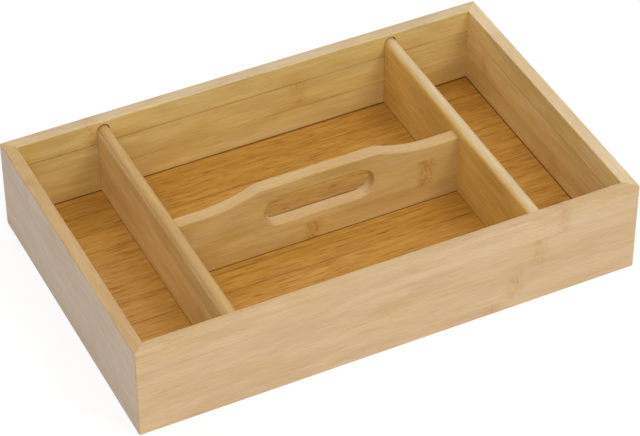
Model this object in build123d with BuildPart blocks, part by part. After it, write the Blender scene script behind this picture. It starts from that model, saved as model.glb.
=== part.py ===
"""Bamboo cutlery tray with a carrying handle.

Four mitred walls hold a floor panel in a groove. Two cross dividers stand in stopped grooves in the
front and rear walls, and a handle divider stands between them, with a hidden tongue in each.
Millimetres, +Z up. The origin is on the table, under the middle of the tray: +X runs along the
long side to the right, and +Y runs to the rear.
"""
import os

from build123d import *

# Tray and boards
tray_length = 390.0
tray_depth = 247.0
tray_height = 76.0
board_thickness = 10.0
wall_edge_radius = 1.2

# Floor panel, and the groove in the walls that holds it
floor_thickness = 6.0
floor_lift = 6.4
floor_groove_depth = 4.0
floor_groove_play = 0.1
floor_edge_gap = 0.4

# Cross dividers, and the grooves in the front and rear walls that hold them
divider_spacing = 236.0
divider_drop = 4.2
divider_groove_depth = 4.0
divider_groove_play = 0.1
divider_groove_headroom = 1.3
divider_end_gap = 0.2

# Handle divider. Its drop is measured from the top of the cross dividers, and its low run from their
# faces to the foot of the sweep.
handle_drop = 7.7
handle_low_run = 20.0
handle_edge_radius = 2.0

# Tongues on the handle divider's ends, and the grooves in the cross dividers that hold them
tongue_length = 2.8
tongue_thickness = 5.0
tongue_drop = 6.0
tongue_groove_depth = 3.0
tongue_groove_play = 0.1
tongue_groove_headroom = 0.5

# Raised grip of the handle divider, and the finger slot below it
grip_rise = 9.1
grip_length = 90.4
grip_depth = 12.7
shoulder_share = 0.12
slot_length = 87.0
slot_height = 24.0
slot_edge_radius = 2.0

# How far a cut runs past the face that it opens
cut_overrun = 1.0

# Places that follow from the sizes above
inner_length = tray_length - 2 * board_thickness
inner_depth = tray_depth - 2 * board_thickness
floor_top = floor_lift + floor_thickness
divider_top = tray_height - divider_drop
divider_x = divider_spacing / 2
handle_bay = divider_spacing - board_thickness
handle_low_top = divider_top - handle_drop
grip_top = handle_low_top + grip_rise
slot_middle = grip_top - grip_depth - slot_height / 2
tongue_height = handle_low_top - tongue_drop - floor_top


def plan_corners(inset):
    """The corners of the tray's outline, drawn in by an inset, from the front left one anticlockwise."""
    x = tray_length / 2 - inset
    y = tray_depth / 2 - inset
    return [(-x, -y), (x, -y), (x, y), (-x, y)]


def round_top(width, bottom, top):
    """Sketch a cross divider's section, or its groove's outline, with a half-round top."""
    centre = top - width / 2
    with Locations((0, (bottom + centre) / 2)):
        Rectangle(width, centre - bottom)
    with Locations((0, centre)):
        Circle(width / 2)


def save(part, name):
    """Name a finished piece and write it to its own file."""
    part.label = name
    export_step(part, f"parts/{name}.step")


os.makedirs("parts", exist_ok=True)

# The frame of the four walls, eased and grooved before it is parted at its mitres
with BuildPart() as frame:
    with BuildSketch():
        Rectangle(tray_length, tray_depth)
        Rectangle(inner_length, inner_depth, mode=Mode.SUBTRACT)
    extrude(amount=tray_height)
    rim = frame.faces().sort_by(Axis.Z)[-1]
    foot = frame.faces().sort_by(Axis.Z)[0]
    corners = frame.edges().filter_by(Axis.Z).group_by(SortBy.DISTANCE)[-1]
    fillet(rim.edges() + foot.edges() + corners, radius=wall_edge_radius)

    with BuildSketch(Plane.XY.offset(floor_lift)):
        Rectangle(inner_length + 2 * floor_groove_depth, inner_depth + 2 * floor_groove_depth)
    extrude(amount=floor_thickness + floor_groove_play, mode=Mode.SUBTRACT)

    with BuildSketch(Plane.XZ):
        with Locations((-divider_x, 0), (divider_x, 0)):
            round_top(
                board_thickness + 2 * divider_groove_play,
                floor_top,
                divider_top + divider_groove_headroom,
            )
    extrude(amount=inner_depth / 2 + divider_groove_depth, both=True, mode=Mode.SUBTRACT)

# Each wall is one side of the frame, between the 45 degree mitres at its two ends
mitre_outside = plan_corners(-cut_overrun)
mitre_inside = plan_corners(board_thickness + cut_overrun)
for side, wall_name in enumerate(("left_wall", "front_wall", "right_wall", "rear_wall")):
    with BuildPart() as wall:
        add(frame.part)
        with BuildSketch():
            with BuildLine():
                outer_side = [mitre_outside[side - 1], mitre_outside[side]]
                inner_side = [mitre_inside[side], mitre_inside[side - 1]]
                Polyline(*outer_side, *inner_side, close=True)
            make_face()
        extrude(amount=tray_height, mode=Mode.INTERSECT)
    save(wall.part, wall_name)

# The floor panel lies on the lower side of its groove, with room at its edges to swell
floor_reach = floor_groove_depth - floor_edge_gap
with BuildPart() as floor_panel:
    with BuildSketch(Plane.XY.offset(floor_lift)):
        Rectangle(inner_length + 2 * floor_reach, inner_depth + 2 * floor_reach)
    extrude(amount=floor_thickness)
save(floor_panel.part, "floor_panel")

# The cross dividers stand on the floor panel, and the side that faces the handle is grooved
for divider_name, divider_place in (("left_divider", -divider_x), ("right_divider", divider_x)):
    with BuildPart() as divider:
        with BuildSketch(Plane.XZ):
            with Locations((divider_place, 0)):
                round_top(board_thickness, floor_top, divider_top)
        extrude(amount=inner_depth / 2 + divider_groove_depth - divider_end_gap, both=True)
        with BuildSketch(Plane.XY.offset(floor_top)):
            Rectangle(handle_bay + 2 * tongue_groove_depth, tongue_thickness + 2 * tongue_groove_play)
        extrude(amount=tongue_height + tongue_groove_headroom, mode=Mode.SUBTRACT)
    save(divider.part, divider_name)

# The handle divider's top is low at its ends and high at the grip. A wide sweep and a tight shoulder
# join the two levels, and meet on the straight line between their ends, so they share one tangent.
handle_end = handle_bay / 2
sweep_foot = (handle_end - handle_low_run, handle_low_top)
grip_end = (grip_length / 2, grip_top)
with BuildPart() as handle_divider:
    with BuildSketch(Plane.XZ):
        with BuildLine():
            Polyline((0, floor_top), (handle_end, floor_top), (handle_end, handle_low_top))
            low_line = Line((handle_end, handle_low_top), sweep_foot)
            grip_line = Line((0, grip_top), grip_end)
            shoulder_end = Line(grip_end, sweep_foot, mode=Mode.PRIVATE) @ shoulder_share
            TangentArc(sweep_foot, shoulder_end, tangent=low_line % 1)
            TangentArc(grip_end, shoulder_end, tangent=grip_line % 1)
            mirror(about=Plane.YZ)
        make_face()
        with Locations((0, slot_middle)):
            SlotOverall(slot_length, slot_height, mode=Mode.SUBTRACT)
    extrude(amount=board_thickness / 2, both=True)

    # Both faces are rounded over along the top and around the slot, and stay square at the foot
    faces = handle_divider.faces().filter_by(Axis.Y)
    slot_edges = [edge for face in faces for edge in face.inner_wires()[0].edges()]
    outline = ShapeList([edge for face in faces for edge in face.outer_wire().edges()])
    levels_above_foot = outline.filter_by(Axis.Z, reverse=True).group_by(Axis.Z)[1:]
    fillet([edge for level in levels_above_foot for edge in level], radius=handle_edge_radius)
    fillet(slot_edges, radius=slot_edge_radius)

    # The square ends butt against the cross dividers and hide the tongues
    tongue_middle = handle_end + tongue_length / 2
    with BuildSketch(Plane.XY.offset(floor_top)):
        with Locations((-tongue_middle, 0), (tongue_middle, 0)):
            Rectangle(tongue_length, tongue_thickness)
    extrude(amount=tongue_height)
save(handle_divider.part, "handle_divider")
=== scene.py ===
"""The looks of a bamboo cutlery tray, laid out as an add-on and run as a script.

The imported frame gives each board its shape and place. Here every board gets eased edges, scored glue
lines and an oiled bamboo finish, and stands for the plain board of the frame. Metres, +Z up, +X along
the tray's long side to the right, +Y to the rear.
"""
import math

import bmesh
import bpy
from mathutils import Matrix, Vector


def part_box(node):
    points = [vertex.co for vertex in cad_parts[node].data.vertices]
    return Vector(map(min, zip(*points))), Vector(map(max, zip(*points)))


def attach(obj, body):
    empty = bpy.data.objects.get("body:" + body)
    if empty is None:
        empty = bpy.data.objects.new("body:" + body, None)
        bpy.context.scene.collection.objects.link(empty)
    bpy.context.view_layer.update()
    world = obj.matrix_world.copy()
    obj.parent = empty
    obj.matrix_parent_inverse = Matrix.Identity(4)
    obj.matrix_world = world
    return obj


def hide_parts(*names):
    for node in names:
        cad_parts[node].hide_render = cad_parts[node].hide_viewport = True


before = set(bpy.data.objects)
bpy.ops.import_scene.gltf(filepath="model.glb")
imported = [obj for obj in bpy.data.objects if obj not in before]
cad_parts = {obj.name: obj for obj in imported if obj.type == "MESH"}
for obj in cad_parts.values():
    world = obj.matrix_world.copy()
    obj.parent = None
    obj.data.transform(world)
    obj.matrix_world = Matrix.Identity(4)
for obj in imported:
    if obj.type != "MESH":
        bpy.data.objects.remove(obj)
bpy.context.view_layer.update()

bl_info = {
    "name": "Bamboo Cutlery Tray",
    "version": (1, 0, 0),
    "blender": (4, 5, 0),
    "location": "3D View > Sidebar > Cutlery Tray",
    "description": "Finishes the boards of a bamboo cutlery tray and sets its stage",
    "category": "Object",
}

# Corners this near are one corner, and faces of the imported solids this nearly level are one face
MERGE_GAP = 1e-6
FLAT_BEND = math.radians(0.2)

# An edge with a bend above the first angle looks sharp, and one above the second is eased
SHARP_BEND = math.radians(32)
EASED_BEND = math.radians(50)

# Sides of the circle that rounds a cross divider's top, and how many boards long a glue line's cutter is
ROUND_SIDES = 64
CUTTER_REACH = 1.1

# How a board's own directions, which are along its fibres, across its strips and through its plies,
# are turned from the tray's
BOARD_ALONG_X = Matrix.Rotation(math.radians(-90), 3, "X")
BOARD_ALONG_Y = Matrix(((0, 1, 0), (0, 0, 1), (1, 0, 0)))
BOARD_FLAT = Matrix.Identity(3)

# How fine the bamboo's marks are, in features to the metre along a board, across it and through it
FINE_FIBRES = (60, 1300, 1300)
MEDIUM_FIBRES = (28, 420, 420)
BROAD_FIBRES = (9, 120, 120)
FIBRE_SWAYS = (6, 25, 25)
SAP_DASHES = (60, 1200, 1200)
CANE_CLOUDS = (16, 65, 65)
NODE_STROKES = (480, 230, 230)
NODE_WAVERS = (30, 200, 200)
GLUE_GAPS = (11, 30, 30)

# The width in which fibres sway, that in which nodes waver, and the most that one strip's grain is
# shifted from another's, in metres
SWAY_WIDTH = 0.006
WAVER_WIDTH = 0.01
STRIP_SHIFT = (3.0, 0.4, 0.4)

# Metres from the middle of a node's mark, and of a glue line, to where it is darkest and where it ends
NODE_CORE = 0.001
NODE_END = 0.01
GLUE_CORE = 0.0002
STRIP_GLUE_END = 0.0009
PLY_GLUE_END = 0.0004

# Within so many metres of a board's middle, one face's colour gives way to the other's
FACE_BLEND = 0.001

# The noise at which a mark starts to show and at which it is full
LINE_RISE = (0.38, 0.62)
DASH_RISE = (0.58, 0.7)
STREAK_RISE = (0.37, 0.63)
CLOUD_RISE = (0.38, 0.64)
STROKE_RISE = (0.44, 0.6)

# What is left of a glue line in its gaps, and of a node's mark between its strokes
LINE_LEAST = 0.15
NODE_LEAST = 0.35

# The colours that the marks stain the bamboo
BROWN_CLOUD = (0.8, 0.72, 0.58, 1)
YELLOW_CLOUD = (1.0, 0.97, 0.76, 1)
DARK_STRIP = (0.8, 0.72, 0.58, 1)
CANE_NODE = (0.8, 0.62, 0.44, 1)
OLD_GLUE = (0.55, 0.36, 0.18, 1)

# The finish of a board, apart from what its own operator gives. The edge's look starts as many metres
# below the two faces as the first number of its zone, and is full at the second. The stain is the colour
# of the dark fibres. The next strip's nodes lie a node step further on, as a share of their spacing. The
# rest are strengths. A pair gives the one outside the tray and the one inside it, and the last entry is
# the inside's share on the far face and on the near face.
BOARD_FINISH = {
    "edge_zone": (0.0001, 0.0007),
    "stain": (0.78, 0.69, 0.53),
    "node_step": 0.37,
    "nodes": 0.5,
    "dashes": 0.35,
    "streaks": (0.42, 0.5),
    "clouds": (0.36, 0.6),
    "glue_lines": (0.05, 0.6),
    "strip_tone": (0.15, 0.4),
    "inside": (1.0, 1.0),
}


def length(name, description, default):
    """A size in metres."""
    return bpy.props.FloatProperty(
        name=name, description=description, default=default, unit="LENGTH", precision=5
    )


def amount(name, description, default):
    """A plain number."""
    return bpy.props.FloatProperty(name=name, description=description, default=default)


def power(name, description, default):
    """A lamp's power in watts."""
    return bpy.props.FloatProperty(name=name, description=description, default=default, unit="POWER")


def angle(name, description, degrees):
    """An angle, given in degrees."""
    return bpy.props.FloatProperty(
        name=name, description=description, default=math.radians(degrees), unit="ROTATION"
    )


def place(name, description, default):
    """A place in metres."""
    return bpy.props.FloatVectorProperty(
        name=name, description=description, default=default, unit="LENGTH"
    )


def colour(name, description, default):
    """A colour."""
    return bpy.props.FloatVectorProperty(
        name=name, description=description, default=default, subtype="COLOR", min=0, max=1
    )


class BoardLooks(bpy.types.PropertyGroup):
    """Sizes that all boards share."""

    edge_ease: length("Eased edge", "Width of the tiny bevel on sharp edges", 0.00012)
    line_depth: length("Glue line depth", "Depth of the scored glue lines", 0.00006)
    ply: length("Ply", "Thickness of one layer of strips", 0.0036)
    node_spacing: length("Node spacing", "Distance between two nodes of a cane", 0.45)
    strip_width: length("Strip width", "Width of one bamboo strip in a wall or divider", 0.0235)
    wall_line: length("Glue line in a wall", "Height of a wall's lowest glue line", 0.0095)
    divider_line: length("Glue line in a divider", "Height of a divider's lowest glue line", 0.028)
    roughness: amount("Roughness", "Roughness of the oil over smooth fibres", 0.34)
    dullness: amount("Dullness", "Roughness that pores and sap dashes add", 0.2)
    relief: length("Relief", "How far the fibres stand out under the oil", 0.0001)


# Each face's colour is set to its look under these lamps. The outsides are greyer than the insides, partly
# as a painted reflection of the white room. Colours that differ from board to board and face to face carry
# painted light and shade as well as each board's own tone.
class FrontWallLooks(bpy.types.PropertyGroup):
    """Colours of the front wall."""

    outside: colour("Outside", "Colour of the outer face", (0.67, 0.477, 0.278))
    inside: colour("Inside", "Colour of the inner face", (0.792, 0.604, 0.265))
    edge: colour("Edge", "Colour of the rim", (0.61, 0.43, 0.252))


class RearWallLooks(bpy.types.PropertyGroup):
    """Colours of the rear wall."""

    outside: colour("Outside", "Colour of the outer face", (0.67, 0.477, 0.278))
    inside: colour("Inside", "Colour of the inner face", (0.772, 0.587, 0.254))
    # The rim is paler and bluer than the front rim. This is partly the board's own tone, and partly a
    # painted reflection of the white room along the far rim.
    edge: colour("Edge", "Colour of the rim", (0.61, 0.467, 0.292))


class LeftWallLooks(bpy.types.PropertyGroup):
    """Colours of the left wall."""

    # The outside is darker and greyer than the other walls' outsides. This is partly the board's own tone,
    # and partly painted shade and a painted grey reflection on this side of the tray.
    outside: colour("Outside", "Colour of the outer face", (0.543, 0.395, 0.273))
    inside: colour("Inside", "Colour of the inner face", (0.792, 0.604, 0.265))
    edge: colour("Edge", "Colour of the rim", (0.538, 0.351, 0.163))


class RightWallLooks(bpy.types.PropertyGroup):
    """Colours of the right wall."""

    outside: colour("Outside", "Colour of the outer face", (0.67, 0.477, 0.278))
    # The inside is paler than the other walls' insides: painted light on this inner face.
    inside: colour("Inside", "Colour of the inner face", (0.884, 0.685, 0.34))
    # The rim is paler and bluer than the front rim. This is partly the board's own tone, and partly a
    # painted reflection of the white room along this rim.
    edge: colour("Edge", "Colour of the rim", (0.705, 0.555, 0.363))


class FloorLooks(bpy.types.PropertyGroup):
    """Strips and colour of the floor panel."""

    strip_width: length("Strip width", "Width of one bamboo strip in the floor", 0.0205)
    first_line: length("First glue line", "Place of the front glue line, from the tray's middle", -0.1135)
    # The face colour is a little darker than the bamboo's own: painted shade in the narrow compartments.
    face: colour("Face", "Colour of both faces", (0.565, 0.298, 0.056))
    # The scored lines take a dark colour: painted shade of the narrow gap where the floor meets the walls
    # and dividers.
    gap_shade: colour("Joint", "Colour of the scored lines around the compartments", (0.24, 0.075, 0.0))
    joint_depth: length("Joint line depth", "Depth of the scored lines around the compartments", 0.001)
    joint_tuck: length("Joint line tuck", "How far the lines at a cross divider lie under it", 0.0005)


class CrossDividerLooks(bpy.types.PropertyGroup):
    """Shape and colours of the cross dividers."""

    groove_thickness: length("Groove width", "Width of the groove for the handle's tongue", 0.0052)
    groove_depth: length("Groove depth", "Depth of the groove for the handle's tongue", 0.003)
    groove_height: length("Groove height", "Height of the groove above the floor panel", 0.0462)
    # The left board's faces are paler than the right board's: painted light on faces that the lamps light
    # too little.
    left_face: colour("Left board", "Colour of the left divider's faces", (0.9, 0.67, 0.352))
    right_face: colour("Right board", "Colour of the right divider's faces", (0.82, 0.55, 0.182))
    # The left crown's dark colour is painted shade over its rounded top.
    left_edge: colour("Left crown", "Colour of the left divider's rounded top", (0.536, 0.34, 0.129))
    right_edge: colour("Right crown", "Colour of the right divider's rounded top", (0.67, 0.51, 0.31))


class HandleLooks(bpy.types.PropertyGroup):
    """Colours of the handle divider."""

    face: colour("Faces", "Colour of the two faces", (0.733, 0.532, 0.242))
    edge: colour("Edge", "Colour of the rounded top and the slot's rim", (0.6, 0.4, 0.19))


class StageLooks(bpy.types.PropertyGroup):
    """The camera, the lamps and the table."""

    aim: place("Aim", "Point that the camera looks at", (-0.00445, -0.01424, 0.038))
    distance: length("Distance", "From the aim to the camera", 1.9899)
    azimuth: angle("Azimuth", "Turn of the camera round the tray", -26.0147)
    elevation: angle("Elevation", "Tilt of the camera above the table", 40.9025)
    roll: angle("Roll", "Roll of the camera", -0.251)
    lens: amount("Lens", "Focal length in millimetres", 155.33)
    sensor: amount("Sensor", "Width of the camera's sensor in millimetres", 36)
    table: amount("Table", "Share of the light that the table gives back to the tray", 0.9)
    shadow: amount("Shadow", "Share of the table's light and shade that the camera sees", 0.2)
    white: amount("White", "Glow of the table where the camera or a reflection sees it", 0.84)
    daylight: amount("Daylight", "Strength of the light from all round", 0.38)
    right_power: power("Right lamp", "Power of the lamp at the front right", 24)
    left_power: power("Left lamp", "Power of the lamp at the front left", 20)
    rear_power: power("Rear lamp", "Power of the lamp behind", 13)
    right_place: place("Right place", "Where the right lamp stands", (0.9, -1.3, 1.9))
    left_place: place("Left place", "Where the left lamp stands", (-0.9, -1.3, 1.9))
    rear_place: place("Rear place", "Where the rear lamp stands", (0, 1.3, 1.9))
    lamp_size: length("Lamp size", "Width of each square lamp", 1.2)
    table_reach: length("Table reach", "From the middle of the table to its edges", 6)


class TraySettings(bpy.types.PropertyGroup):
    """Everything that can be set."""

    boards: bpy.props.PointerProperty(type=BoardLooks)
    front_wall: bpy.props.PointerProperty(type=FrontWallLooks)
    rear_wall: bpy.props.PointerProperty(type=RearWallLooks)
    left_wall: bpy.props.PointerProperty(type=LeftWallLooks)
    right_wall: bpy.props.PointerProperty(type=RightWallLooks)
    floor: bpy.props.PointerProperty(type=FloorLooks)
    cross_dividers: bpy.props.PointerProperty(type=CrossDividerLooks)
    handle: bpy.props.PointerProperty(type=HandleLooks)
    stage: bpy.props.PointerProperty(type=StageLooks)


class Graph:
    """Adds nodes to a tree with short calls. Any value may be a plain one or another node's output."""

    def __init__(self, tree):
        self.tree = tree

    def fill(self, socket, value):
        """Link or set one input."""
        if isinstance(value, bpy.types.NodeSocket):
            self.tree.links.new(value, socket)
        else:
            socket.default_value = value

    def node(self, kind, values=None, **settings):
        """Add a node, apply its settings, and fill the inputs that are named or numbered in values."""
        made = self.tree.nodes.new(kind)
        for setting, value in settings.items():
            setattr(made, setting, value)
        for key, value in (values or {}).items():
            self.fill(made.inputs[key], value)
        return made

    def add(self, kind, values=None, **settings):
        """Add a node, and give its first output."""
        return self.node(kind, values, **settings).outputs[0]

    def group(self, tree, values):
        """Add a node group, and fill its inputs by name."""
        made = self.tree.nodes.new(self.tree.bl_idname.replace("NodeTree", "NodeGroup"))
        made.node_tree = tree
        for key, value in values.items():
            self.fill(made.inputs[key], value)
        return made.outputs

    def math(self, operation, *values):
        """The result of a sum on plain numbers."""
        return self.add("ShaderNodeMath", dict(enumerate(values)), operation=operation)

    def vector(self, operation, *values):
        """The result of a sum on vectors."""
        return self.add("ShaderNodeVectorMath", dict(enumerate(values)), operation=operation)

    def combine(self, x=0.0, y=0.0, z=0.0):
        """A vector made from three numbers."""
        return self.add("ShaderNodeCombineXYZ", {0: x, 1: y, 2: z})

    def step(self, value, start, full):
        """A smooth step from 0 at the start to 1 at full, which may lie above the start or below it."""
        at_low, at_high = (0.0, 1.0) if start < full else (1.0, 0.0)
        values = {0: value, 1: min(start, full), 2: max(start, full), 3: at_low, 4: at_high}
        return self.add("ShaderNodeMapRange", values, interpolation_type="SMOOTHSTEP")

    def between(self, factor, first, second):
        """A number that goes from the first to the second as the factor goes from 0 to 1."""
        return self.math("MULTIPLY_ADD", factor, second - first, first)

    def weigh(self, *parts):
        """The sum of some values, each times its weight."""
        total = 0.0
        for value, weight in parts:
            total = self.math("MULTIPLY_ADD", value, weight, total)
        return total

    def noise(self, point, stretch, detail=2.0, output=0):
        """Noise with so many features to the metre along, across and through."""
        values = {"Vector": self.vector("MULTIPLY", point, stretch), "Scale": 1.0, "Detail": detail}
        return self.node("ShaderNodeTexNoise", values).outputs[output]

    def wander(self, point, stretch, width):
        """A length that wanders to both sides of zero, within a width."""
        return self.math("MULTIPLY", self.math("SUBTRACT", self.noise(point, stretch), 0.5), width)

    def blend(self, factor, first, second):
        """A blend of two colours."""
        return self.node("ShaderNodeMix", {0: factor, 6: first, 7: second}, data_type="RGBA").outputs[2]

    def stain(self, factor, colour_below, stain_colour):
        """A colour with a see-through stain over it."""
        values = {0: factor, 6: colour_below, 7: stain_colour}
        mix = self.node("ShaderNodeMix", values, data_type="RGBA", blend_type="MULTIPLY")
        return mix.outputs[2]

    def moved(self, geometry, by, turn=(0, 0, 0)):
        """A geometry that is turned about the origin and then moved."""
        values = {"Geometry": geometry, "Translation": by, "Rotation": turn}
        return self.add("GeometryNodeTransform", values)

    def cut(self, board, cutter):
        """What is left of a board outside a cutter."""
        values = {"Mesh 1": board, "Mesh 2": cutter}
        return self.add("GeometryNodeMeshBoolean", values, operation="DIFFERENCE", solver="EXACT")

    def merged(self, geometry):
        """A geometry with its corners merged where they lie on each other."""
        return self.add("GeometryNodeMergeByDistance", {"Geometry": geometry, "Distance": MERGE_GAP})

    def finished(self, geometry, material):
        """A geometry with no instances left, and one material."""
        geometry = self.add("GeometryNodeRealizeInstances", {"Geometry": geometry})
        return self.add("GeometryNodeSetMaterial", {"Geometry": geometry, "Material": material})


def new_group(name, kind, inputs, outputs):
    """A node group with named sockets, as its graph, its given values and its result's sockets."""
    tree = bpy.data.node_groups.new(name, kind)
    for label, socket_type in inputs.items():
        tree.interface.new_socket(label, in_out="INPUT", socket_type="NodeSocket" + socket_type)
    for label, socket_type in outputs.items():
        tree.interface.new_socket(label, in_out="OUTPUT", socket_type="NodeSocket" + socket_type)
    graph = Graph(tree)
    return graph, graph.node("NodeGroupInput").outputs, graph.node("NodeGroupOutput").inputs


def new_board_group(name, inputs):
    """A geometry node group that works on one board and gives it its material."""
    inputs = {"Geometry": "Geometry", **inputs, "Material": "Material"}
    return new_group(name, "GeometryNodeTree", inputs, {"Geometry": "Geometry"})


def laminated_bamboo():
    """The shader node group that draws bamboo strips glued side by side and in plies.

    It takes a point in the board's own directions and the colour of the palest fibres.
    """
    if "Laminated Bamboo" in bpy.data.node_groups:
        return bpy.data.node_groups["Laminated Bamboo"]
    inputs = {
        "Point": "Vector",
        "Base": "Color",
        "Strip Width": "Float",
        "First Line": "Float",
        "Ply": "Float",
        "Node Spacing": "Float",
        "Node Step": "Float",
        "Node Shift": "Float",
        "Seed": "Float",
        "Stain": "Color",
        "Streaks": "Float",
        "Clouds": "Float",
        "Dashes": "Float",
        "Strip Tone": "Float",
        "Glue Lines": "Float",
        "Nodes": "Float",
    }
    outputs = {"Color": "Color", "Dullness": "Float", "Height": "Float"}
    graph, given, result = new_group("Laminated Bamboo", "ShaderNodeTree", inputs, outputs)
    along, across, through = graph.node("ShaderNodeSeparateXYZ", {0: given["Point"]}).outputs

    # Which strip and which ply a point is in, and how near it is to the glue around them
    from_first_line = graph.math("SUBTRACT", across, given["First Line"])
    strip_place = graph.math("DIVIDE", from_first_line, given["Strip Width"])
    ply_place = graph.math("ADD", graph.math("DIVIDE", through, given["Ply"]), 0.5)
    strip = graph.math("FLOOR", strip_place)
    ply = graph.math("FLOOR", ply_place)
    lines = []
    for run, width, line_end in (
        (strip_place, given["Strip Width"], STRIP_GLUE_END),
        (ply_place, given["Ply"], PLY_GLUE_END),
    ):
        off_middle = graph.math("ABSOLUTE", graph.math("SUBTRACT", graph.math("FRACT", run), 0.5))
        to_glue = graph.math("MULTIPLY", graph.math("SUBTRACT", 0.5, off_middle), width)
        lines.append(graph.step(to_glue, line_end, GLUE_CORE))

    # The lines come and go along the board
    board_point = graph.vector("ADD", given["Point"], graph.combine(given["Seed"]))
    shown = graph.step(graph.noise(board_point, GLUE_GAPS), *LINE_RISE)
    shown = graph.between(shown, LINE_LEAST, 1.0)
    shown = graph.math("MULTIPLY", given["Glue Lines"], shown)
    glue = graph.math("MULTIPLY", graph.math("MAXIMUM", *lines), shown)

    # Each strip is cut from another cane, so it has its own tone and its own stretch of grain
    values = {"Vector": graph.combine(strip, ply, given["Seed"])}
    chance = graph.node("ShaderNodeTexWhiteNoise", values, noise_dimensions="3D").outputs
    shift = graph.vector("MULTIPLY", chance["Color"], STRIP_SHIFT)
    grain_point = graph.vector("ADD", given["Point"], shift)
    sway = graph.wander(grain_point, FIBRE_SWAYS, SWAY_WIDTH)
    fibre_point = graph.vector("ADD", grain_point, graph.combine(y=sway, z=sway))

    # Fibres at three widths, and the short dark dashes of the sap channels
    fine = graph.noise(fibre_point, FINE_FIBRES)
    medium = graph.noise(fibre_point, MEDIUM_FIBRES)
    broad = graph.noise(fibre_point, BROAD_FIBRES)
    dash = graph.step(graph.noise(fibre_point, SAP_DASHES, detail=1.0), *DASH_RISE)
    streak = graph.step(graph.weigh((broad, 0.25), (medium, 0.4), (fine, 0.35)), *STREAK_RISE)

    # Soft brown clouds, where the cane was darker, and yellow ones run on from strip to strip
    clouds = graph.noise(board_point, CANE_CLOUDS, detail=3.0, output="Color")
    brown, yellow, _ = graph.node("ShaderNodeSeparateXYZ", {0: clouds}).outputs
    brown = graph.math("MULTIPLY", graph.step(brown, *CLOUD_RISE), given["Clouds"])
    yellow = graph.math("MULTIPLY", graph.step(yellow, *CLOUD_RISE), given["Clouds"])

    # A cane's nodes cross a strip in a patch of short upright strokes
    cane_place = graph.math("MULTIPLY", strip, given["Node Step"])
    cane_place = graph.math("ADD", cane_place, graph.math("DIVIDE", along, given["Node Spacing"]))
    cane_place = graph.math("FRACT", graph.math("ADD", cane_place, given["Node Shift"]))
    from_node = graph.math("SUBTRACT", cane_place, 0.5)
    from_node = graph.math("MULTIPLY", from_node, given["Node Spacing"])
    waver = graph.wander(grain_point, NODE_WAVERS, WAVER_WIDTH)
    from_node = graph.math("ABSOLUTE", graph.math("ADD", from_node, waver))
    node_patch = graph.step(from_node, NODE_END, NODE_CORE)
    node_strokes = graph.step(graph.noise(grain_point, NODE_STROKES, detail=1.0), *STROKE_RISE)
    node_mark = graph.math("MULTIPLY", node_patch, graph.between(node_strokes, NODE_LEAST, 1.0))

    # Each mark is a stain over those before it
    wood = given["Base"]
    for strength, stain_colour in (
        (graph.math("MULTIPLY", streak, given["Streaks"]), given["Stain"]),
        (brown, BROWN_CLOUD),
        (yellow, YELLOW_CLOUD),
        (graph.math("MULTIPLY", chance["Value"], given["Strip Tone"]), DARK_STRIP),
        (graph.math("MULTIPLY", dash, given["Dashes"]), given["Stain"]),
        (graph.math("MULTIPLY", node_mark, given["Nodes"]), CANE_NODE),
        (glue, OLD_GLUE),
    ):
        wood = graph.stain(strength, wood, stain_colour)
    graph.fill(result["Color"], wood)

    # The oil is duller over pores and dashes, the fibres stand out, and the dashes are sunk
    graph.fill(result["Dullness"], graph.weigh((fine, 0.5), (dash, 0.5)))
    graph.fill(result["Height"], graph.weigh((medium, 0.3), (fine, 0.5), (dash, -0.4)))
    return graph.tree


def bamboo_material(name, turn, middle, half_thickness, zones, finish):
    """The oiled bamboo of one board.

    Its zones are the colours of the far face, of the near face and of the edge between them.
    """
    boards = bpy.context.scene.cutlery_tray.boards
    material = bpy.data.materials.new(name)
    material.use_nodes = True
    graph = Graph(material.node_tree)
    graph.tree.nodes.clear()
    object_point = graph.node("ShaderNodeTexCoord").outputs["Object"]
    values = {"Vector": object_point, "Location": -(turn @ middle), "Rotation": turn.to_euler()}
    point = graph.add("ShaderNodeMapping", values)
    through = graph.node("ShaderNodeSeparateXYZ", {0: point}).outputs[2]
    on_near_face = graph.step(through, -FACE_BLEND, FACE_BLEND)
    start, end = finish["edge_zone"]
    off_middle = graph.math("ABSOLUTE", through)
    on_edge = graph.step(off_middle, half_thickness - start, half_thickness - end)
    far_face, near_face, edge = ((*zone, 1) for zone in zones)
    base = graph.blend(on_near_face, far_face, near_face)
    base = graph.blend(on_edge, base, edge)
    inside = graph.between(on_near_face, *finish["inside"])
    inside = graph.math("MULTIPLY", inside, graph.math("SUBTRACT", 1.0, on_edge))
    strengths = {}
    for effect in ("streaks", "clouds", "glue_lines", "strip_tone"):
        strengths[effect] = graph.between(inside, *finish[effect])
    bamboo = graph.group(laminated_bamboo(), {
        "Point": point,
        "Base": base,
        "Strip Width": finish["strip_width"],
        "First Line": finish["first_line"] - (turn @ middle).y,
        "Ply": boards.ply,
        "Node Spacing": boards.node_spacing,
        "Node Step": finish["node_step"],
        "Node Shift": finish["node_shift"],
        "Seed": finish["seed"],
        "Stain": (*finish["stain"], 1),
        "Streaks": strengths["streaks"],
        "Clouds": strengths["clouds"],
        "Dashes": finish["dashes"],
        "Strip Tone": strengths["strip_tone"],
        "Glue Lines": strengths["glue_lines"],
        "Nodes": finish["nodes"],
    })
    roughness = graph.math("MULTIPLY_ADD", bamboo["Dullness"], boards.dullness, boards.roughness)
    values = {"Strength": 0.5, "Distance": boards.relief, "Height": bamboo["Height"]}
    bump = graph.add("ShaderNodeBump", values)
    values = {"Base Color": bamboo["Color"], "Roughness": roughness, "Normal": bump}
    shader = graph.add("ShaderNodeBsdfPrincipled", values)
    graph.node("ShaderNodeOutputMaterial", {"Surface": shader})
    return material


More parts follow.
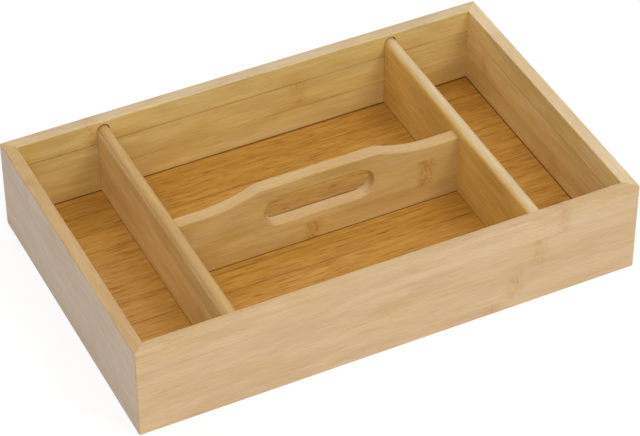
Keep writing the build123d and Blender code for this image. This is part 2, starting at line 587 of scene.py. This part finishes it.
def round_topped_board():
    """The geometry node group that sweeps a round-topped section along a board and grooves one side."""
    if "Round-Topped Board" in bpy.data.node_groups:
        return bpy.data.node_groups["Round-Topped Board"]
    graph, given, result = new_board_group("Round-Topped Board", {
        "Foot": "Vector",
        "Thickness": "Float",
        "Height": "Float",
        "Length": "Float",
        "Groove Thickness": "Float",
        "Groove Depth": "Float",
        "Groove Height": "Float",
        "Groove Side": "Float",
    })
    radius = graph.math("MULTIPLY", given["Thickness"], 0.5)
    straight = graph.math("SUBTRACT", given["Height"], radius)

    # The lower half of a circle is drawn down to the two corners of the foot
    circle = graph.add("GeometryNodeMeshCircle", {"Vertices": ROUND_SIDES, "Radius": radius})
    position = graph.add("GeometryNodeInputPosition")
    x, y, _ = graph.node("ShaderNodeSeparateXYZ", {0: position}).outputs
    corner_x = graph.math("MULTIPLY", graph.math("SIGN", x), radius)
    corner = graph.combine(corner_x, graph.math("MULTIPLY", straight, -1.0))
    lower_half = graph.math("LESS_THAN", y, -MERGE_GAP)
    values = {"Geometry": circle, "Selection": lower_half, "Position": corner}
    section = graph.merged(graph.add("GeometryNodeSetPosition", values))
    section = graph.add("GeometryNodeMeshToCurve", {"Mesh": section})

    end = graph.combine(z=graph.math("MULTIPLY", given["Length"], 0.5))
    start = graph.combine(z=graph.math("MULTIPLY", given["Length"], -0.5))
    path = graph.add("GeometryNodeCurvePrimitiveLine", {"Start": start, "End": end})
    values = {"Curve": path, "Profile Curve": section, "Fill Caps": True}
    board = graph.add("GeometryNodeCurveToMesh", values)
    to_centre = graph.vector("ADD", given["Foot"], graph.combine(z=straight))
    board = graph.moved(board, to_centre, (math.radians(90), 0, 0))

    # The groove's cutter starts below the foot and is centred on the face that it opens
    cut_depth = graph.math("MULTIPLY", given["Groove Depth"], 2.0)
    cut_height = graph.math("MULTIPLY", given["Groove Height"], 2.0)
    size = graph.combine(cut_depth, given["Groove Thickness"], cut_height)
    cutter = graph.add("GeometryNodeMeshCube", {"Size": size})
    to_face = graph.combine(graph.math("MULTIPLY", given["Groove Side"], radius))
    cutter = graph.moved(cutter, graph.vector("ADD", given["Foot"], to_face))
    board = graph.cut(board, cutter)
    graph.fill(result["Geometry"], graph.finished(board, given["Material"]))
    return graph.tree


def scored_glue_lines():
    """The geometry node group that scores a row of glue lines into both faces of a board."""
    if "Scored Glue Lines" in bpy.data.node_groups:
        return bpy.data.node_groups["Scored Glue Lines"]
    graph, given, result = new_board_group("Scored Glue Lines", {
        "Middle": "Vector",
        "Turn": "Vector",
        "Length": "Float",
        "Thickness": "Float",
        "First Line": "Float",
        "Strip Width": "Float",
        "Lines": "Int",
        "Line Depth": "Float",
    })

    # A row of places up one face, and the same row on the other
    half = graph.math("MULTIPLY", given["Thickness"], 0.5)
    values = {
        "Count": given["Lines"],
        "Start Location": graph.combine(y=given["First Line"], z=half),
        "Offset": graph.combine(y=given["Strip Width"]),
    }
    near_row = graph.add("GeometryNodeMeshLine", values)
    to_far_face = graph.combine(z=graph.math("MULTIPLY", given["Thickness"], -1.0))
    rows = graph.node("GeometryNodeJoinGeometry")
    for row in (near_row, graph.moved(near_row, to_far_face)):
        graph.tree.links.new(row, rows.inputs[0])

    # A four-sided cutter lies along the fibres at each place, and one of its corners cuts a V-shaped groove
    values = {"Vertices": 4, "Radius": given["Line Depth"], "Depth": given["Length"]}
    cutter = graph.add("GeometryNodeMeshCylinder", values)
    values = {"Points": rows.outputs[0], "Instance": cutter, "Rotation": (0, math.radians(90), 0)}
    cutters = graph.add("GeometryNodeInstanceOnPoints", values)
    cutters = graph.add("GeometryNodeRealizeInstances", {"Geometry": cutters})
    turn = graph.add("FunctionNodeEulerToRotation", {0: given["Turn"]})
    board = graph.cut(given["Geometry"], graph.moved(cutters, given["Middle"], turn))

    # Slivers that the bevel and the cuts leave are closed up before the board is shaded
    board = graph.merged(board)
    board = graph.add("GeometryNodeSetShadeSmooth", {"Geometry": board, "Shade Smooth": True})
    sharp = graph.math("GREATER_THAN", graph.add("GeometryNodeInputMeshEdgeAngle"), SHARP_BEND)
    values = {"Geometry": board, "Selection": sharp, "Shade Smooth": False}
    board = graph.add("GeometryNodeSetShadeSmooth", values, domain="EDGE")
    graph.fill(result["Geometry"], graph.finished(board, given["Material"]))
    return graph.tree


def scored_compartment():
    """The geometry node group that scores a line into the floor around one compartment."""
    if "Scored Compartment" in bpy.data.node_groups:
        return bpy.data.node_groups["Scored Compartment"]
    graph, given, result = new_board_group("Scored Compartment", {
        "Centre": "Vector",
        "Width": "Float",
        "Depth": "Float",
        "Line Depth": "Float",
    })
    values = {"Width": given["Width"], "Height": given["Depth"]}
    outline = graph.add("GeometryNodeCurvePrimitiveQuadrilateral", values)
    values = {"Resolution": 4, "Radius": given["Line Depth"]}
    profile = graph.add("GeometryNodeCurvePrimitiveCircle", values)
    cutter = graph.add("GeometryNodeCurveToMesh", {"Curve": outline, "Profile Curve": profile})
    board = graph.cut(given["Geometry"], graph.moved(cutter, given["Centre"]))
    graph.fill(result["Geometry"], graph.finished(board, given["Material"]))
    return graph.tree


def add_nodes(piece, tree, values):
    """Give a piece a geometry node group with its inputs set, before the piece is first evaluated."""
    modifier = piece.modifiers.new(tree.name, "NODES")
    modifier.node_group = tree
    for socket in tree.interface.items_tree:
        if socket.in_out == "INPUT" and socket.name in values:
            modifier[socket.identifier] = values[socket.name]


def plain_mesh(piece):
    """Turn a piece's modifiers into its mesh."""
    mesh = bpy.data.meshes.new_from_object(piece.evaluated_get(bpy.context.evaluated_depsgraph_get()))
    piece.modifiers.clear()
    piece.data = mesh


def merged_copy(node_name):
    """A mesh of a packed board, with its loose triangles merged and its flat faces made whole."""
    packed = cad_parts[node_name].data
    work = bmesh.new()
    corners = [work.verts.new(corner.co) for corner in packed.vertices]
    for face in packed.polygons:
        work.faces.new([corners[index] for index in face.vertices])
    bmesh.ops.remove_doubles(work, verts=work.verts, dist=MERGE_GAP)
    bmesh.ops.dissolve_limit(work, angle_limit=FLAT_BEND, verts=work.verts, edges=work.edges)
    mesh = bpy.data.meshes.new(node_name + "_board")
    work.to_mesh(mesh)
    work.free()
    return mesh


def finish_board(node_name, turn, zones, finish, section=None, compartments=()):
    """Make the board that is seen in place of a packed one.

    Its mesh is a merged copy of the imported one, or it is swept with the round-topped section's values.
    A line is scored around each compartment.
    """
    boards = bpy.context.scene.cutlery_tray.boards
    low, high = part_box(node_name)
    middle = (low + high) / 2
    size = turn @ (high - low)
    size = Vector(abs(value) for value in size)
    mesh = bpy.data.meshes.new(node_name + "_board") if section else merged_copy(node_name)
    board = bpy.data.objects.new(node_name + "_board", mesh)
    bpy.context.scene.collection.objects.link(board)
    material = bamboo_material(node_name + "_bamboo", turn, middle, size.z / 2, zones, finish)
    if section:
        add_nodes(board, round_topped_board(), {
            "Foot": (middle.x, middle.y, low.z),
            "Thickness": size.z,
            "Height": size.y,
            "Length": size.x,
            "Material": material,
            **section,
        })
    ease = board.modifiers.new("Eased edges", "BEVEL")
    ease.width = boards.edge_ease
    ease.segments = 2
    ease.angle_limit = EASED_BEND
    ease.use_clamp_overlap = False
    for left, front, right, rear in compartments:
        add_nodes(board, scored_compartment(), {
            "Centre": ((left + right) / 2, (front + rear) / 2, high.z),
            "Width": right - left,
            "Depth": rear - front,
            "Line Depth": bpy.context.scene.cutlery_tray.floor.joint_depth,
            "Material": material,
        })
    first_line = finish["first_line"] - (turn @ middle).y
    add_nodes(board, scored_glue_lines(), {
        "Middle": middle,
        "Turn": turn.transposed().to_euler(),
        "Length": size.x * CUTTER_REACH,
        "Thickness": size.z,
        "First Line": first_line,
        "Strip Width": finish["strip_width"],
        "Lines": math.floor((size.y / 2 - first_line) / finish["strip_width"]) + 1,
        "Line Depth": boards.line_depth,
        "Material": material,
    })
    board.modifiers.new("Even shading", "WEIGHTED_NORMAL").keep_sharp = True
    plain_mesh(board)
    # A bevel on a round edge overshoots by a few thousandths of a millimetre, so it is pressed back in
    for corner in board.data.vertices:
        corner.co = [min(max(value, least), most) for value, least, most in zip(corner.co, low, high)]
    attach(board, "root")
    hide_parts(node_name)


class CUTLERYTRAY_OT_walls(bpy.types.Operator):
    """Finish the four mitred walls"""

    bl_idname = "cutlery_tray.walls"
    bl_label = "Walls"

    def execute(self, context):
        settings = context.scene.cutlery_tray
        for name, turn, inside_is_near, node_step, node_shift, seed in (
            ("front_wall", BOARD_ALONG_X, False, 0.958, 0.287, 129),
            ("rear_wall", BOARD_ALONG_X, True, 0.37, 0.041, 26),
            ("left_wall", BOARD_ALONG_Y, True, 0.37, 0.6, 21),
            ("right_wall", BOARD_ALONG_Y, False, 0.762, 0.549, 72),
        ):
            looks = getattr(settings, name)
            zones = [looks.outside, looks.inside]
            inside = [0.0, 1.0]
            if not inside_is_near:
                zones.reverse()
                inside.reverse()
            finish_board(name, turn, (*zones, looks.edge), {
                **BOARD_FINISH,
                "strip_width": settings.boards.strip_width,
                "first_line": settings.boards.wall_line,
                "inside": inside,
                "node_step": node_step,
                "node_shift": node_shift,
                "seed": seed,
            })
        return {"FINISHED"}


class CUTLERYTRAY_OT_floor(bpy.types.Operator):
    """Finish the floor panel, and score a line around each compartment"""

    bl_idname = "cutlery_tray.floor"
    bl_label = "Floor"

    def execute(self, context):
        looks = context.scene.cutlery_tray.floor
        inner_low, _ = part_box("left_wall")
        _, inner_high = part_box("right_wall")
        left_low, left_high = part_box("left_divider")
        right_low, right_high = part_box("right_divider")
        handle_low, handle_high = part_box("handle_divider")
        wall = (left_high - left_low).x
        left, right = inner_low.x + wall, inner_high.x - wall
        front, rear = inner_low.y + wall, inner_high.y - wall
        tuck = looks.joint_tuck
        compartments = (
            (left, front, left_low.x + tuck, rear),
            (right_high.x - tuck, front, right, rear),
            (left_high.x - tuck, front, right_low.x + tuck, handle_low.y),
            (left_high.x - tuck, handle_high.y, right_low.x + tuck, rear),
        )
        # The floor's edge colour fills the scored lines with painted shade.
        zones = (looks.face, looks.face, looks.gap_shade)
        finish_board("floor_panel", BOARD_FLAT, zones, {
            **BOARD_FINISH,
            "edge_zone": (0.00003, 0.0002),
            "strip_width": looks.strip_width,
            "first_line": looks.first_line,
            "node_shift": 0.4,
            "seed": 11,
            "stain": (0.56, 0.44, 0.26),
            "streaks": (0.55, 0.55),
            "clouds": (0.12, 0.12),
            "glue_lines": (0.7, 0.7),
            "strip_tone": (0.25, 0.25),
            "dashes": 0.9,
        }, compartments=compartments)
        return {"FINISHED"}


class CUTLERYTRAY_OT_cross_dividers(bpy.types.Operator):
    """Make the two cross dividers, whose round-topped section runs from wall to wall"""

    bl_idname = "cutlery_tray.cross_dividers"
    bl_label = "Cross Dividers"

    def execute(self, context):
        settings = context.scene.cutlery_tray
        looks = settings.cross_dividers
        # The narrow zone lets the left crown's dark colour, which is painted shade, reach far down its
        # sides. The wide zone brings the right crown's colour in slowly, painting the shading across its
        # top.
        for name, face, edge, edge_zone, streaks, groove_side, node_shift, seed in (
            ("left_divider", looks.left_face, looks.left_edge, (0.0001, 0.001), 0.5, 1.0, 0.65, 35),
            ("right_divider", looks.right_face, looks.right_edge, (0.0005, 0.0026), 0.8, -1.0, 0.8, 85),
        ):
            finish_board(name, BOARD_ALONG_Y, (face, face, edge), {
                **BOARD_FINISH,
                "edge_zone": edge_zone,
                "streaks": (0.42, streaks),
                "strip_width": settings.boards.strip_width,
                "first_line": settings.boards.divider_line,
                "glue_lines": (0.05, 0.2),
                "node_shift": node_shift,
                "seed": seed,
            }, section={
                "Groove Thickness": looks.groove_thickness,
                "Groove Depth": looks.groove_depth,
                "Groove Height": looks.groove_height,
                "Groove Side": groove_side,
            })
        return {"FINISHED"}


class CUTLERYTRAY_OT_handle_divider(bpy.types.Operator):
    """Finish the handle divider"""

    bl_idname = "cutlery_tray.handle_divider"
    bl_label = "Handle Divider"

    def execute(self, context):
        settings = context.scene.cutlery_tray
        looks = settings.handle
        zones = (looks.face, looks.face, looks.edge)
        finish_board("handle_divider", BOARD_ALONG_X, zones, {
            **BOARD_FINISH,
            "strip_width": settings.boards.strip_width,
            "first_line": settings.boards.divider_line,
            "glue_lines": (0.05, 0.2),
            "node_step": 0.796,
            "node_shift": 0.309,
            "seed": 157,
            "nodes": 1.0,
        })
        return {"FINISHED"}


class CUTLERYTRAY_OT_stage(bpy.types.Operator):
    """Set the white table, the lamps and the camera"""

    bl_idname = "cutlery_tray.stage"
    bl_label = "Stage"

    def execute(self, context):
        looks = context.scene.cutlery_tray.stage
        place_table(looks)
        light_world(looks)
        place_lamp("right_lamp", looks.right_place, looks.right_power, looks.lamp_size)
        place_lamp("left_lamp", looks.left_place, looks.left_power, looks.lamp_size)
        place_lamp("rear_lamp", looks.rear_place, looks.rear_power, looks.lamp_size)
        place_camera(looks)
        return {"FINISHED"}


def seen(graph):
    """1 for rays from the camera and for those that the tray reflects, and 0 for all others."""
    path = graph.node("ShaderNodeLightPath").outputs
    mirrored = graph.math("MAXIMUM", path["Is Glossy Ray"], path["Is Transmission Ray"])
    return graph.math("MAXIMUM", path["Is Camera Ray"], mirrored)


def place_table(looks):
    """A wide white table that shows only the tray's soft shadow. From below it can't be seen."""
    reach = looks.table_reach
    corners = [(-reach, -reach, 0), (reach, -reach, 0), (reach, reach, 0), (-reach, reach, 0)]
    mesh = bpy.data.meshes.new("table")
    mesh.from_pydata(corners, [], [(0, 1, 2, 3)])
    table = bpy.data.objects.new("table", mesh)
    bpy.context.scene.collection.objects.link(table)
    material = bpy.data.materials.new("table_white")
    material.use_nodes = True
    graph = Graph(material.node_tree)
    graph.tree.nodes.clear()
    in_view = seen(graph)
    tone = graph.between(in_view, looks.table, looks.table * looks.shadow)
    diffuse = graph.add("ShaderNodeBsdfDiffuse", {"Color": graph.combine(tone, tone, tone)})
    strength = graph.math("MULTIPLY", in_view, looks.white)
    glow = graph.add("ShaderNodeEmission", {"Color": (1, 1, 1, 1), "Strength": strength})
    surface = graph.add("ShaderNodeAddShader", {0: diffuse, 1: glow})
    clear = graph.add("ShaderNodeBsdfTransparent")
    from_below = graph.node("ShaderNodeNewGeometry").outputs["Backfacing"]
    surface = graph.add("ShaderNodeMixShader", {0: from_below, 1: surface, 2: clear})
    graph.node("ShaderNodeOutputMaterial", {"Surface": surface})
    mesh.materials.append(material)


def light_world(looks):
    """Even light from all round, which the camera sees as white."""
    world = bpy.data.worlds.new("studio")
    bpy.context.scene.world = world
    world.use_nodes = True
    graph = Graph(world.node_tree)
    graph.tree.nodes.clear()
    strength = graph.between(seen(graph), looks.daylight, 1.0)
    background = graph.add("ShaderNodeBackground", {"Color": (1, 1, 1, 1), "Strength": strength})
    graph.node("ShaderNodeOutputWorld", {"Surface": background})


def place_lamp(name, location, watts, size):
    """A soft square lamp that faces the tray. The oil mirrors the white room and not the lamp."""
    lamp = bpy.data.lights.new(name, "AREA")
    lamp.size = size
    lamp.energy = watts
    light = bpy.data.objects.new(name, lamp)
    light.location = location
    light.visible_glossy = False
    light.rotation_euler = (-light.location).to_track_quat("-Z", "Y").to_euler()
    bpy.context.scene.collection.objects.link(light)


def place_camera(looks):
    """The camera at the photograph's viewing angle."""
    level = math.cos(looks.elevation)
    sideways = math.sin(looks.azimuth) * level
    backwards = math.cos(looks.azimuth) * level
    to_camera = Vector((sideways, -backwards, math.sin(looks.elevation)))
    camera = bpy.data.cameras.new("photo_camera")
    camera.sensor_width = looks.sensor
    camera.lens = looks.lens
    eye = bpy.data.objects.new("photo_camera", camera)
    eye.location = Vector(looks.aim) + looks.distance * to_camera
    roll = Matrix.Rotation(looks.roll, 4, "Z")
    facing = (-to_camera).to_track_quat("-Z", "Y").to_matrix().to_4x4()
    eye.rotation_euler = (facing @ roll).to_euler()
    bpy.context.scene.collection.objects.link(eye)
    bpy.context.scene.camera = eye
    bpy.context.scene.view_settings.view_transform = "Standard"


OPERATORS = (
    CUTLERYTRAY_OT_walls,
    CUTLERYTRAY_OT_floor,
    CUTLERYTRAY_OT_cross_dividers,
    CUTLERYTRAY_OT_handle_divider,
    CUTLERYTRAY_OT_stage,
)


class CUTLERYTRAY_PT_panel(bpy.types.Panel):
    """Lists the tray's pieces"""

    bl_idname = "CUTLERYTRAY_PT_panel"
    bl_label = "Cutlery Tray"
    bl_space_type = "VIEW_3D"
    bl_region_type = "UI"
    bl_category = "Cutlery Tray"

    def draw(self, context):
        for operator in OPERATORS:
            self.layout.operator(operator.bl_idname)


CLASSES = (
    BoardLooks,
    FrontWallLooks,
    RearWallLooks,
    LeftWallLooks,
    RightWallLooks,
    FloorLooks,
    CrossDividerLooks,
    HandleLooks,
    StageLooks,
    TraySettings,
    *OPERATORS,
    CUTLERYTRAY_PT_panel,
)


def register():
    for each in CLASSES:
        bpy.utils.register_class(each)
    bpy.types.Scene.cutlery_tray = bpy.props.PointerProperty(type=TraySettings)


def unregister():
    del bpy.types.Scene.cutlery_tray
    for each in reversed(CLASSES):
        bpy.utils.unregister_class(each)


def main():
    """Make the tray and its stage."""
    register()
    bpy.ops.cutlery_tray.walls()
    bpy.ops.cutlery_tray.floor()
    bpy.ops.cutlery_tray.cross_dividers()
    bpy.ops.cutlery_tray.handle_divider()
    bpy.ops.cutlery_tray.stage()


if __name__ == "__main__":
    main()
